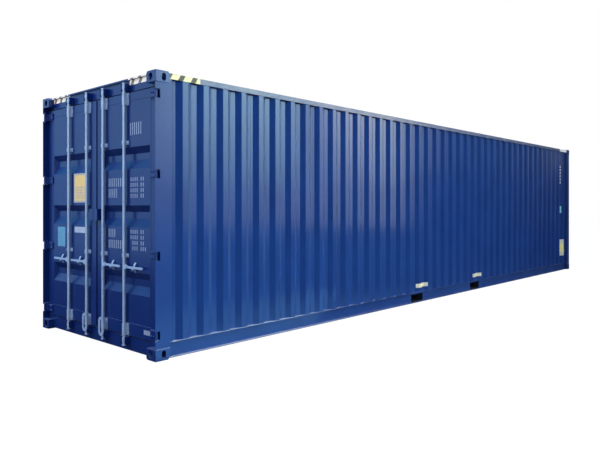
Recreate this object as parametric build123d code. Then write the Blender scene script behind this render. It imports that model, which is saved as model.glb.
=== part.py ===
from build123d import *
import math
import os

# All sizes are in millimetres. X runs along the container with the doors at -X, Y across it, Z up.
# "Right" is the hand of a person who faces the doors, so the right side is at -Y.

# Overall size
length = 12192
width = 2438
height = 2896

# Corner castings
casting_length = 178
casting_width = 162
casting_height = 118
casting_wall = 14
casting_plate = 28.5
casting_back_wall = 12
casting_edge_radius = 5
casting_end_run = 24
casting_end_rise = 40
casting_side_run = 18
casting_side_rise = 26
slot_rim = 40
slot_length = 124.5
slot_width = 63.5
slot_from_end = 103.5
slot_from_side = 89.5
eye_height = 79.5
side_eye_width = 51
side_eye_from_end = 101.5
end_eye_width = 63.5
end_eye_from_side = 89.5
eye_level = 62

# Steel skin of the frame
skin_inset = 4
post_plate = 6
door_post_channel = 12
door_post_inner = 50
door_post_rear = 72
door_post_side = 205
front_post_depth = 46
top_rail_size = 60
top_rail_wall = 3
top_rail_radius = 4
top_rail_drop = 14
bottom_rail_height = 162
bottom_rail_flange = 48
bottom_rail_wall = 5
base_clearance = 12
roof_clearance = 6

# Corrugated skin
sheet = 2
side_wall_inset = 8
side_depth = 36
side_pitch = 278
side_outer = 72
side_slope = 68
side_first_flat = 97
side_last_flat = 60
front_wall_inset = 8
front_depth = 45.6
front_pitch = 250
front_outer = 110
front_slope = 18
roof_depth = 20
roof_pitch = 209
roof_crest = 91
roof_slope = 13.5
roof_end_flat = 230
roof_side_flat = 45
roof_plate_reach = 400
roof_plate_width = 440
roof_plate_thickness = 3

# Door end frame
end_face = 74
end_beam_wall = 4
header_depth = 66
header_height = 137
sill_depth = 50
sill_top = 160
gutter_depth = 24
gutter_height = 16

# Closed end frame
front_beam_inset = 8
front_beam_depth = 56

# Base
floor_level = 168
floor_thickness = 28
member_flange = 45
member_wall = 4
member_clearance = 6
member_pitch = 300
pocket_spacing = 2050
pocket_width = 360
pocket_height = 115
pocket_bottom = 20
pocket_wall = 4
pocket_strap = 200
tunnel_width = 1029
tunnel_height = 120
tunnel_length = 3500
tunnel_wall = 4
bow_width = 80

# Door leaves
leaf_face = 62
leaf_thickness = 50
leaf_wall = 4
leaf_edge_gap = 14
seal_gap = 5
seal_thickness = 32
meeting_gap = 12
stile_width = 100
top_rail_of_leaf = 88
bottom_rail_of_leaf = 132
band_shares = [0.7758, 0.5365, 0.262]
band_height = 231
band_top_slope = 70
band_bottom_slope = 90
band_end_slope = 25
band_margin = 20
band_depth = 40

# Hinges
hinge_shares = [0.97, 0.658, 0.3384, 0.0304]
hinge_from_end = 20
hinge_from_side = 26
pin_radius = 10
pin_clearance = 0.35
barrel_radius = 16
blade_height = 84
blade_thickness = 12
strap_reach = 100
arm_root_run = 6
arm_root_half = 9
arm_crank_inner = 15
arm_crank_outer = 29
lug_thickness = 16
lug_gap = 1
lug_cut_back = 12
pin_overhang = 4
hinge_notch_depth = 58
hinge_notch_clearance = 5

# Lock bars
bar_offsets = [179, 604]
bar_from_end = 33
bar_radius = 17
bar_wall = 3
bar_bottom = 63
bar_top_drop = 40
cam_height = 46
cam_radius = 22
cam_reach = 30
cam_nose = 20
bottom_cam_level = 123
top_cam_rise = 47
collar_height = 14
keeper_plate = 6
keeper_lug = 10
keeper_height = 76
keeper_gap = 72
keeper_reach = 52
guide_clearance = 0.4
guide_wall = 4.6
guide_plate = 5
guide_width = 100
end_guide_height = 126
mid_guide_height = 42
mid_guide_shares = [0.7953, 0.329]
guard_width = 108
guard_height = 215
guard_bottom = 100
guard_thickness = 5
guard_from_end = 5
guard_slot_width = 46
guard_slot_height = 150
guard_leg = 8
guard_leg_rise = 12

# Handles
handle_level = 900
handle_length = 355
handle_height = 24
handle_thickness = 10
handle_from_end = 21
handle_pin_offset = 48
handle_pin_radius = 6
hub_reach = 66
hub_height = 74
hub_tip_height = 24
hub_plate = 4.5
hub_gap = 0.5
catch_offset = 180
catch_width = 28
catch_rise = 52
catch_shoulder = 20
catch_thickness = 6
catch_clearance = 6
ledge_gap = 1
ledge_thickness = 10

# Lock box
lock_box_gap = 8
lock_box_half = 84
lock_box_share = 0.4702
lock_box_height = 130
lock_box_from_end = 14
lock_box_wall = 3

# Levels and planes that follow from the sizes above
door_end = -length / 2
front_end = length / 2
right_side = -width / 2
rail_bottom = base_clearance
rail_top = base_clearance + bottom_rail_height
top_rail_top = height - top_rail_drop
top_rail_bottom = top_rail_top - top_rail_size
roof_top = height - roof_clearance
header_bottom = roof_top - header_height
post_bottom = casting_height
post_top = height - casting_height
member_top = floor_level - floor_thickness
member_bottom = base_clearance + member_clearance
base_half_width = width / 2 - skin_inset - bottom_rail_flange
leaf_bottom = sill_top + leaf_edge_gap
leaf_top = header_bottom - leaf_edge_gap
leaf_outer = width / 2 - door_post_inner - leaf_edge_gap
leaf_inner = leaf_edge_gap
leaf_back = leaf_face + leaf_thickness
leaf_height = leaf_top - leaf_bottom
band_levels = [leaf_bottom + share * leaf_height for share in band_shares]
hinge_levels = [leaf_bottom + share * leaf_height for share in hinge_shares]
mid_guide_levels = [leaf_bottom + share * leaf_height for share in mid_guide_shares]
lock_box_bottom = leaf_bottom + lock_box_share * leaf_height
lock_box_top = lock_box_bottom + lock_box_height
top_cam_level = header_bottom + top_cam_rise
bar_top = roof_top - bar_top_drop


def block(x0, x1, y0, y1, z0, z1):
    """A box between two opposite corners."""
    size = Box(x1 - x0, y1 - y0, z1 - z0)
    return Pos((x0 + x1) / 2, (y0 + y1) / 2, (z0 + z1) / 2) * size


def prism_x(points, x0, x1):
    """A (y, z) outline carried along X."""
    plane = Plane(origin=(x0, 0, 0), x_dir=(0, 1, 0), z_dir=(1, 0, 0))
    return extrude(plane * Polygon(*points, align=None), x1 - x0, dir=(1, 0, 0))


def prism_y(points, y0, y1):
    """An (x, z) outline carried along Y."""
    plane = Plane(origin=(0, y0, 0), x_dir=(1, 0, 0), z_dir=(0, -1, 0))
    return extrude(plane * Polygon(*points, align=None), y1 - y0, dir=(0, 1, 0))


def prism_z(points, z0, z1):
    """An (x, y) outline carried upwards."""
    return extrude(Pos(0, 0, z0) * Polygon(*points, align=None), z1 - z0, dir=(0, 0, 1))


def rod(radius, x, y, z0, z1):
    """An upright cylinder."""
    return Pos(x, y, (z0 + z1) / 2) * Cylinder(radius, z1 - z0)


def other_side(shape):
    """The same shape on the other side of the container."""
    return mirror(shape, about=Plane.XZ)


def from_door(distance):
    return door_end + distance


def from_front(distance):
    return front_end - distance


def from_right(distance):
    return right_side + distance


# Corner castings


def casting_blank():
    """Bottom casting of the right door corner: a hollow box with an eye in each outer face."""
    outer = block(0, casting_length, 0, casting_width, 0, casting_height)
    outer = fillet(outer.edges(), casting_edge_radius)
    end_slope = [
        (casting_length - casting_end_run, 0), (casting_length, 0), (casting_length, casting_end_rise),
    ]
    for y0, y1 in ((0, slot_from_side - slot_rim), (slot_from_side + slot_rim, casting_width)):
        outer -= prism_y(end_slope, y0, y1)
    side_slope = [
        (casting_width - casting_side_run, 0), (casting_width, 0), (casting_width, casting_side_rise),
    ]
    outer -= prism_x(side_slope, 0, casting_length)
    cavity = block(
        casting_wall, casting_length - casting_back_wall, casting_wall, casting_width - casting_wall,
        casting_plate, casting_height - casting_wall,
    )
    slot = extrude(
        Pos(slot_from_end, slot_from_side, -1) * SlotOverall(slot_length, slot_width),
        casting_plate + 2,
        dir=(0, 0, 1),
    )
    side_plane = Plane(origin=(side_eye_from_end, -1, eye_level), x_dir=(0, 0, 1), z_dir=(0, 1, 0))
    side_eye = extrude(side_plane * SlotOverall(eye_height, side_eye_width), casting_wall + 2)
    end_plane = Plane(origin=(-1, end_eye_from_side, eye_level), x_dir=(0, 0, 1), z_dir=(1, 0, 0))
    end_eye = extrude(end_plane * SlotOverall(eye_height, end_eye_width), casting_wall + 2)
    return outer - cavity - slot - side_eye - end_eye


def castings():
    """Four pairs of castings, each pair with its right and its left one."""
    blank = Pos(door_end, right_side, 0) * casting_blank()
    mid_height = Plane(origin=(0, 0, height / 2), z_dir=(0, 0, 1))
    pairs = {}
    for end in ("door", "front"):
        lower = blank if end == "door" else mirror(blank, about=Plane.YZ)
        upper = mirror(lower, about=mid_height)
        for level, one in (("bottom", lower), ("top", upper)):
            pairs[f"{end}_{level}_castings"] = [one, other_side(one)]
    return pairs


# Frame


def door_post():
    """Right door post: an outer plate cut out at the hinges, closed by a rolled channel."""
    outer = skin_inset
    plate_in = outer + post_plate
    web_out = door_post_inner - door_post_channel
    side = block(
        from_door(0), from_door(casting_length), from_right(outer), from_right(plate_in),
        post_bottom, post_top,
    )
    lap = block(
        from_door(casting_length), from_door(door_post_side), from_right(outer), from_right(plate_in),
        rail_top, top_rail_bottom,
    )
    channel = block(
        from_door(door_post_rear), from_door(casting_length), from_right(plate_in),
        from_right(door_post_inner), post_bottom, post_top,
    )
    hollow = block(
        from_door(door_post_rear + door_post_channel), from_door(casting_length - door_post_channel),
        from_right(plate_in), from_right(web_out), post_bottom, post_top,
    )
    post = side + lap + (channel - hollow)
    reach = blade_height / 2 + hinge_notch_clearance
    for level in hinge_levels:
        post -= block(
            from_door(-1), from_door(hinge_notch_depth), from_right(0), from_right(plate_in),
            level - reach, level + reach,
        )
    return post


def front_post():
    """Right post of the closed end: one pressed plate, open towards the cargo."""
    far = casting_length
    wide = casting_width
    t = post_plate
    points = [
        (far, front_post_depth), (far, skin_inset), (skin_inset, skin_inset), (skin_inset, wide),
        (front_post_depth, wide), (front_post_depth, wide - t), (skin_inset + t, wide - t),
        (skin_inset + t, skin_inset + t), (far - t, skin_inset + t), (far - t, front_post_depth),
    ]
    placed = [(from_front(a), from_right(b)) for a, b in points]
    return prism_z(placed, post_bottom, post_top)


def top_side_rail():
    """Square tube with rounded long edges between the top castings."""
    x0 = from_door(casting_length)
    x1 = from_front(casting_length)
    y0 = from_right(skin_inset)
    y1 = y0 + top_rail_size
    tube = block(x0, x1, y0, y1, top_rail_bottom, top_rail_top)
    tube = fillet(tube.edges().filter_by(Axis.X), top_rail_radius)
    bore = block(
        x0, x1, y0 + top_rail_wall, y1 - top_rail_wall,
        top_rail_bottom + top_rail_wall, top_rail_top - top_rail_wall,
    )
    return tube - bore


def bottom_side_rail():
    """Pressed channel with both flanges outwards and the two fork pocket mouths cut through its web."""
    y0 = from_right(skin_inset)
    y1 = y0 + bottom_rail_flange
    t = bottom_rail_wall
    outline = [
        (y0, rail_top), (y0, rail_top - t), (y1 - t, rail_top - t), (y1 - t, rail_bottom + t),
        (y0, rail_bottom + t), (y0, rail_bottom), (y1, rail_bottom), (y1, rail_top),
    ]
    rail = prism_x(outline, from_door(casting_length), from_front(casting_length))
    for x in (-pocket_spacing / 2, pocket_spacing / 2):
        rail -= block(
            x - pocket_width / 2, x + pocket_width / 2, y1 - t - 1, y1 + 1,
            pocket_bottom, pocket_bottom + pocket_height,
        )
    return rail


def end_beam(x0, x1, body, step, wall):
    """Hollow beam between castings, with a wider step where it passes between the posts."""
    near = width / 2 - casting_width
    wide = width / 2 - door_post_inner
    outer = block(x0, x1, -near, near, *body) + block(x0, x1, -wide, wide, *step)
    inner = block(x0 + wall, x1 - wall, -near, near, body[0] + wall, body[1] - wall)
    inner += block(x0 + wall, x1 - wall, -wide, wide, step[0] + wall, step[1] - wall)
    return outer - inner


def door_header():
    """Box beam over the doors, with a rain gutter along its top edge."""
    x0 = from_door(end_face)
    near = width / 2 - casting_width
    body = (header_bottom, roof_top)
    beam = end_beam(x0, x0 + header_depth, body, (header_bottom, post_top), end_beam_wall)
    gutter = block(x0 - gutter_depth, x0, -near, near, roof_top - gutter_height, roof_top)
    return beam + gutter


def door_sill():
    """Box beam under the doors."""
    x0 = from_door(end_face)
    body = (rail_bottom, sill_top)
    return end_beam(x0, x0 + sill_depth, body, (post_bottom, sill_top), end_beam_wall)


def front_top_rail():
    """Square tube over the closed end."""
    near = width / 2 - casting_width
    x1 = from_front(front_beam_inset)
    x0 = x1 - front_beam_depth
    t = top_rail_wall
    tube = block(x0, x1, -near, near, top_rail_bottom, roof_top)
    return tube - block(x0 + t, x1 - t, -near, near, top_rail_bottom + t, roof_top - t)


def front_bottom_rail():
    """Box beam under the closed end, arched over the gooseneck tunnel."""
    near = width / 2 - casting_width
    half = tunnel_width / 2
    t = end_beam_wall
    x1 = from_front(front_beam_inset)
    x0 = x1 - front_beam_depth
    outline = [
        (-near, rail_bottom), (-half, rail_bottom), (-half, tunnel_height), (half, tunnel_height),
        (half, rail_bottom), (near, rail_bottom), (near, rail_top), (-near, rail_top),
    ]
    bore = [
        (-near, rail_bottom + t), (-half - t, rail_bottom + t), (-half - t, tunnel_height + t),
        (half + t, tunnel_height + t), (half + t, rail_bottom + t), (near, rail_bottom + t),
        (near, rail_top - t), (-near, rail_top - t),
    ]
    return prism_x(outline, x0, x1) - prism_x(bore, x0 + t, x1 - t)


# Corrugated skin


def ribbed_line(start, first, outer, slope, pitch, count, last, depth):
    """Corners of a trapezoidal rib line that starts and ends in its inner flat."""
    points = [(start, depth)]
    at = start + first
    for _ in range(count):
        points += [(at, depth), (at + slope, 0), (at + slope + outer, 0), (at + 2 * slope + outer, depth)]
        at += pitch
    points.append((at - (pitch - 2 * slope - outer) + last, depth))
    return points


def thick_line(points, thickness):
    """Closed outline of a sheet whose outer face follows the given corners."""
    return points + [(u, v + thickness) for u, v in reversed(points)]


def side_wall():
    """Right side wall: upright trapezoidal ribs between the posts."""
    start = from_door(casting_length)
    span = length - 2 * casting_length
    inner = side_pitch - 2 * side_slope - side_outer
    count = int((span - side_first_flat - side_last_flat + inner) // side_pitch)
    last = span - side_first_flat - count * side_pitch + inner
    line = ribbed_line(start, side_first_flat, side_outer, side_slope, side_pitch, count, last, side_depth)
    outline = [(x, from_right(side_wall_inset + b)) for x, b in thick_line(line, sheet)]
    return prism_z(outline, rail_top, top_rail_bottom)


def front_wall():
    """Closed end wall with deep upright ribs."""
    span = width - 2 * casting_width
    inner = front_pitch - 2 * front_slope - front_outer
    count = int((span - inner) // front_pitch)
    flat = (span - count * front_pitch + inner) / 2
    line = ribbed_line(
        -span / 2, flat, front_outer, front_slope, front_pitch, count, flat, front_depth
    )
    outline = [(from_front(front_wall_inset + b), y) for y, b in thick_line(line, sheet)]
    return prism_z(outline, rail_top, top_rail_bottom)


def roof():
    """Roof sheet with pressed cross ribs that close before the rails."""
    x0 = from_door(end_face + header_depth)
    x1 = from_front(front_beam_inset + front_beam_depth)
    half = width / 2 - skin_inset - top_rail_size
    z0 = roof_top - roof_depth - sheet
    plate = block(x0, x1, -half, half, z0, z0 + sheet)
    corner_in = width / 2 - casting_width
    for xa, xb in ((x0, from_door(casting_length)), (from_front(casting_length), x1)):
        for ya, yb in ((-half, -corner_in), (corner_in, half)):
            plate -= block(xa, xb, ya, yb, z0, z0 + sheet)
    foot = roof_crest + 2 * roof_slope
    usable = length - 2 * casting_length - 2 * roof_end_flat
    count = int((usable - foot) // roof_pitch) + 1
    first = -(count - 1) * roof_pitch / 2
    rib_span = 2 * (half - roof_side_flat)
    ribs = []
    hollows = []
    angle = math.degrees(math.atan2(roof_slope, roof_depth))
    for i in range(count):
        x = first + i * roof_pitch
        rib = Pos(x, 0, z0 + sheet) * Rectangle(foot, rib_span)
        ribs.append(extrude(rib, roof_depth, dir=(0, 0, 1), taper=angle))
        under = Pos(x, 0, z0) * Rectangle(foot - 2 * sheet, rib_span - 2 * sheet)
        hollows.append(extrude(under, roof_depth, dir=(0, 0, 1), taper=angle))
    return (plate + ribs) - hollows


def roof_plates():
    """Four doubler plates on the roof round the top castings."""
    z0 = roof_top - roof_depth
    side = width / 2 - skin_inset - top_rail_size
    corner = width / 2 - casting_width
    inner = side - roof_plate_width
    plates = []
    door_start = end_face + header_depth
    front_start = front_beam_inset + front_beam_depth
    for place, start in ((from_door, door_start), (from_front, front_start)):
        outline = [
            (start, inner), (roof_plate_reach, inner), (roof_plate_reach, side), (casting_length, side),
            (casting_length, corner), (start, corner),
        ]
        for hand in (-1, 1):
            placed = [(place(a), hand * b) for a, b in outline]
            plates.append(prism_z(placed, z0, z0 + roof_plate_thickness))
    return plates


# Base


def floor_boards():
    """Plywood floor on the cross members."""
    x0 = from_door(end_face + sill_depth)
    x1 = from_front(front_beam_inset + front_beam_depth)
    return block(x0, x1, -base_half_width, base_half_width, member_top, floor_level)


def member_section(x, y0, y1):
    """One cross member, a channel open towards the closed end."""
    t = member_wall
    outline = [
        (x, member_bottom), (x + member_flange, member_bottom), (x + member_flange, member_bottom + t),
        (x + t, member_bottom + t), (x + t, member_top - t), (x + member_flange, member_top - t),
        (x + member_flange, member_top), (x, member_top),
    ]
    return prism_y(outline, y0, y1)


def member_places():
    """Where the cross members stand: even bays, none in a fork pocket."""
    start = from_door(end_face + sill_depth)
    end = from_front(front_beam_inset + front_beam_depth)
    bays = round((end - start) / member_pitch)
    step = (end - start) / bays
    reach = pocket_width / 2 + pocket_wall
    places = []
    for i in range(1, bays):
        x = start + i * step - member_flange / 2
        centres = (-pocket_spacing / 2, pocket_spacing / 2)
        if all(x > c + reach + 1 or x + member_flange < c - reach - 1 for c in centres):
            places.append(x)
    return places


def cross_members():
    """Full members, and short ones on both sides of the gooseneck tunnel."""
    tunnel_start = from_front(tunnel_length)
    half = tunnel_width / 2 + tunnel_wall
    members = []
    for x in member_places():
        if x + member_flange < tunnel_start:
            members.append(member_section(x, -base_half_width, base_half_width))
        else:
            members.append(member_section(x, -base_half_width, -half))
            members.append(member_section(x, half, base_half_width))
    return members


def fork_pockets():
    """Two box tunnels across the base, open below except for straps at their mouths."""
    t = pocket_wall
    low = pocket_bottom
    high = pocket_bottom + pocket_height
    pockets = []
    for x in (-pocket_spacing / 2, pocket_spacing / 2):
        xa = x - pocket_width / 2
        xb = x + pocket_width / 2
        outer = block(xa - t, xb + t, -base_half_width, base_half_width, low - t, member_top)
        inner = block(xa, xb, -base_half_width, base_half_width, low, high)
        middle = base_half_width - pocket_strap
        slot = block(xa, xb, -middle, middle, low - t, low)
        pockets.append(outer - inner - slot)
    return pockets


def gooseneck_tunnel():
    """Arch for a trailer's gooseneck: side webs, a top plate and bows that carry the floor."""
    half = tunnel_width / 2
    t = tunnel_wall
    x0 = from_front(tunnel_length)
    x1 = from_front(front_beam_inset + front_beam_depth)
    arch = [
        (-half - t, rail_bottom), (-half, rail_bottom), (-half, tunnel_height), (half, tunnel_height),
        (half, rail_bottom), (half + t, rail_bottom), (half + t, member_top), (half, member_top),
        (half, tunnel_height + t), (-half, tunnel_height + t), (-half, member_top),
        (-half - t, member_top),
    ]
    tunnel = prism_x(arch, x0, x1)
    for x in member_places():
        if x + member_flange >= x0 and x + bow_width < x1:
            tunnel += block(x, x + bow_width, -half, half, tunnel_height + t, member_top)
    return tunnel


# Doors: every piece is made for the right leaf and mirrored for the left one


def leaf_y(inner, outer):
    """Y span on the right leaf, from distances off the middle of the container."""
    return -outer, -inner


def leaf_frame():
    """Pressed ring of stiles and rails, open to the back."""
    x0 = from_door(leaf_face)
    x1 = from_door(leaf_back)
    t = leaf_wall
    y0, y1 = leaf_y(leaf_inner, leaf_outer)
    ring = block(x0, x1, y0, y1, leaf_bottom, leaf_top)
    low = leaf_bottom + bottom_rail_of_leaf
    high = leaf_top - top_rail_of_leaf
    ring -= block(x0, x1, y0 + stile_width, y1 - stile_width, low, high)
    trough = block(x0 + t, x1, y0 + t, y1 - t, leaf_bottom + t, leaf_top - t)
    trough -= block(
        x0 + t, x1, y0 + stile_width - t, y1 - stile_width + t, low - t, high + t
    )
    return ring - trough


def band_loft(level, outer_plane, grow):
    """Tapered recess of one pressed band, from the leaf's face inwards."""
    y0, y1 = leaf_y(leaf_inner + stile_width + band_margin, leaf_outer - stile_width - band_margin)
    y0 -= grow
    y1 += grow
    low = level - band_height - grow
    high = level + grow
    mouth = [(y0, low), (y1, low), (y1, high), (y0, high)]
    e = band_end_slope
    bed = [
        (y0 + e, low + band_bottom_slope), (y1 - e, low + band_bottom_slope),
        (y1 - e, high - band_top_slope), (y0 + e, high - band_top_slope),
    ]
    faces = []
    for points, x in ((mouth, outer_plane), (bed, outer_plane + band_depth)):
        plane = Plane(origin=(x, 0, 0), x_dir=(0, 1, 0), z_dir=(1, 0, 0))
        faces.append(plane * Polygon(*points, align=None))
    return loft(faces)


def leaf_panel():
    """Sheet between the stiles, with three level bands pressed inwards."""
    x0 = from_door(leaf_face)
    y0, y1 = leaf_y(leaf_inner + stile_width, leaf_outer - stile_width)
    low = leaf_bottom + bottom_rail_of_leaf
    high = leaf_top - top_rail_of_leaf
    panel = block(x0, x0 + sheet, y0, y1, low, high)
    for level in band_levels:
        panel += band_loft(level, x0 + sheet, sheet)
        panel -= band_loft(level, x0, 0)
    return panel


def leaf_seal():
    """Rubber seal round the leaf's edge."""
    x1 = from_door(leaf_back)
    x0 = x1 - seal_thickness
    lip = leaf_edge_gap - seal_gap
    y0, y1 = leaf_y(leaf_inner, leaf_outer)
    middle = leaf_inner - meeting_gap / 2
    ring = block(x0, x1, y0 - lip, y1 + middle, leaf_bottom - lip, leaf_top + lip)
    return ring - block(x0, x1, y0, y1, leaf_bottom, leaf_top)


def hinge_lugs():
    """On the right post: for each hinge a lug above and one below, joined by the pin."""
    x = from_door(hinge_from_end)
    y = from_right(hinge_from_side)
    half = blade_height / 2 + lug_gap
    inner = skin_inset + post_plate
    lugs = []
    for level in hinge_levels:
        reach = half + lug_thickness + pin_overhang
        lug = rod(pin_radius, x, y, level - reach, level + reach)
        for z in (level - half - lug_thickness, level + half):
            lug += rod(hinge_from_side - inner, x, y, z, z + lug_thickness)
            lug += block(
                x, from_door(door_post_rear), from_right(inner),
                from_right(door_post_inner - lug_cut_back), z, z + lug_thickness,
            )
        lugs.append(lug)
    return lugs


def hinge_blades():
    """On the right leaf: barrels on the pins, cranked to straps on the leaf's face."""
    a = hinge_from_end
    b = hinge_from_side
    strap_out = leaf_face - blade_thickness
    edge = door_post_inner + leaf_edge_gap
    arm = [
        (a + arm_root_run, b - arm_root_half), (leaf_face, b + arm_crank_inner),
        (leaf_face, edge + strap_reach), (strap_out, edge + strap_reach),
        (strap_out, b + arm_crank_outer), (a - arm_root_run, b + arm_root_half),
    ]
    placed = [(from_door(u), from_right(v)) for u, v in arm]
    x = from_door(a)
    y = from_right(b)
    blades = []
    for level in hinge_levels:
        z0 = level - blade_height / 2
        z1 = level + blade_height / 2
        blade = prism_z(placed, z0, z1) + rod(barrel_radius, x, y, z0, z1)
        blades.append(blade - rod(pin_radius + pin_clearance, x, y, z0, z1))
    return blades


# Lock gear


def bar_guide(offset, low, high):
    """Bearing bracket on the leaf: base plate with a saddle round the bar."""
    x = from_door(bar_from_end)
    face = from_door(leaf_face)
    shell = bar_radius + guide_clearance + guide_wall
    plate = block(
        face - guide_plate, face, -offset - guide_width / 2, -offset + guide_width / 2, low, high
    )
    saddle = block(x, face, -offset - shell, -offset + shell, low, high)
    saddle += rod(shell, x, -offset, low, high)
    return plate + saddle - rod(bar_radius + guide_clearance, x, -offset, low, high)


def bar_guard(offset):
    """Slotted shield in front of an inner bar, on two legs from the leaf."""
    x0 = from_door(guard_from_end)
    middle = guard_bottom + guard_height / 2
    plane = Plane(origin=(x0, -offset, middle), x_dir=(0, 0, 1), z_dir=(1, 0, 0))
    shield = plane * (
        SlotOverall(guard_height, guard_width) - SlotOverall(guard_slot_height, guard_slot_width)
    )
    guard = extrude(shield, guard_thickness)
    leg_low = leaf_bottom + guard_leg_rise
    leg_high = guard_bottom + guard_height - guard_width / 2
    for side in (-1, 1):
        y = -offset + side * (guard_width / 2 - guard_leg)
        guard += block(
            x0 + guard_thickness / 2, from_door(leaf_face - guide_plate), y - guard_leg / 2,
            y + guard_leg / 2, leg_low, leg_high,
        )
    return guard


def guides():
    """All bearing brackets of the right leaf."""
    pieces = []
    for offset in bar_offsets:
        pieces.append(bar_guide(offset, leaf_top - end_guide_height, leaf_top))
        for level in mid_guide_levels:
            pieces.append(bar_guide(offset, level - mid_guide_height / 2, level + mid_guide_height / 2))
        pieces.append(bar_guide(offset, leaf_bottom, leaf_bottom + end_guide_height))
    return pieces


def cam(offset, level):
    """Forged cam: a collar whose nose points into the keeper."""
    x = from_door(bar_from_end)
    z0 = level - cam_height / 2
    z1 = level + cam_height / 2
    body = rod(cam_radius, x, -offset, z0, z1)
    tip = cam_reach - cam_nose / 2
    body += block(x, x + tip, -offset - cam_nose / 2, -offset + cam_nose / 2, z0, z1)
    return body + rod(cam_nose / 2, x + tip, -offset, z0, z1)


def lock_bar(offset):
    """Tube with a cam at each end and a hub for the handle."""
    x = from_door(bar_from_end)
    bar = rod(bar_radius, x, -offset, bar_bottom, bar_top)
    for level in (bottom_cam_level, top_cam_level):
        bar += cam(offset, level)
    for z in (bar_bottom, bar_top - collar_height):
        bar += rod(cam_radius, x, -offset, z, z + collar_height)
    front = from_door(handle_from_end)
    back = front + handle_thickness
    out = -offset - hub_reach
    root = hub_height / 2
    tip = hub_tip_height / 2
    outline = [
        (-offset, handle_level - root), (-offset, handle_level + root), (out, handle_level + tip),
        (out, handle_level - tip),
    ]
    bar += prism_x(outline, front - hub_gap - hub_plate, front - hub_gap)
    bar += prism_x(outline, back + hub_gap, back + hub_gap + hub_plate)
    pin_y = -offset - handle_pin_offset
    pin_plane = Plane(origin=(front - hub_gap - hub_plate, pin_y, handle_level), z_dir=(1, 0, 0))
    pin = extrude(
        pin_plane * Circle(handle_pin_radius), handle_thickness + 2 * hub_gap + 2 * hub_plate
    )
    bore = rod(bar_radius - bar_wall, x, -offset, bar_bottom, bar_top)
    return (bar - bore) + pin


def handle(offset):
    """Flat bar handle on the hub's pin, lying towards the hinge side."""
    x0 = from_door(handle_from_end)
    start = -offset - handle_pin_offset
    end = -offset - handle_length
    half = handle_height / 2
    plane = Plane(origin=(x0, 0, 0), x_dir=(0, 1, 0), z_dir=(1, 0, 0))
    middle = (start + end) / 2
    span = start - end + half
    outline = Pos(middle + half / 2, handle_level) * SlotOverall(span, handle_height)
    hole = Pos(start, handle_level) * Circle(handle_pin_radius + pin_clearance)
    return extrude(plane * (outline - hole), handle_thickness, dir=(1, 0, 0))


def handle_catch(offset):
    """Strap bowed out behind the handle, with the ledge that it rests on."""
    face = leaf_face
    bow = handle_from_end + handle_thickness + catch_clearance
    t = catch_thickness
    ledge_top = handle_level - handle_height / 2 - ledge_gap
    ledge_low = ledge_top - ledge_thickness
    outline = [
        (face, handle_level + catch_rise), (face - t, handle_level + catch_rise),
        (bow, handle_level + catch_shoulder), (bow, ledge_top), (handle_from_end - t, ledge_top),
        (handle_from_end - t, ledge_low), (bow, ledge_low), (face - t, handle_level - catch_rise),
        (face, handle_level - catch_rise), (face, handle_level - catch_rise + t),
        (bow + t, ledge_low), (bow + t, handle_level + catch_shoulder),
        (face, handle_level + catch_rise - t),
    ]
    placed = [(from_door(u), z) for u, z in outline]
    middle = -offset - catch_offset
    return prism_y(placed, middle - catch_width / 2, middle + catch_width / 2)


def keepers(level):
    """Cam keepers of both leaves on one beam: a base plate with a lug on each side of the cam."""
    x1 = from_door(end_face)
    x0 = x1 - keeper_plate
    z0 = level - keeper_height / 2
    z1 = level + keeper_height / 2
    reach = keeper_gap / 2 + keeper_lug
    pieces = []
    for offset in bar_offsets:
        keeper = block(x0, x1, -offset - reach, -offset + reach, z0, z1)
        for y in (-offset - reach, -offset + keeper_gap / 2):
            keeper += block(x0 - keeper_reach, x0, y, y + keeper_lug, z0, z1)
        pieces += [keeper, other_side(keeper)]
    return pieces


def lock_box():
    """Half of the padlock shroud, which reaches past its leaf's edge, open below."""
    x0 = from_door(lock_box_from_end)
    x1 = from_door(leaf_face)
    y0, y1 = leaf_y(lock_box_gap / 2, lock_box_half)
    t = lock_box_wall
    box = block(x0, x1, y0, y1, lock_box_bottom, lock_box_top)
    return box - block(x0 + t, x1, y0 + t, y1, lock_box_bottom, lock_box_top - t)


def door_nodes():
    """Every piece of the right leaf, by name without its side."""
    nodes = {
        "door_frame": [leaf_frame()],
        "door_panel": [leaf_panel()],
        "door_seal": [leaf_seal()],
        "door_hinge_blades": hinge_blades(),
        "door_bar_guides": guides(),
        "door_fittings": [bar_guard(bar_offsets[0])] + [handle_catch(offset) for offset in bar_offsets],
        "door_lock_box": [lock_box()],
    }
    for place, offset in zip(("inner", "outer"), bar_offsets):
        nodes[f"{place}_lock_bar"] = [lock_bar(offset)]
        nodes[f"{place}_handle"] = [handle(offset)]
    return nodes


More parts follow.
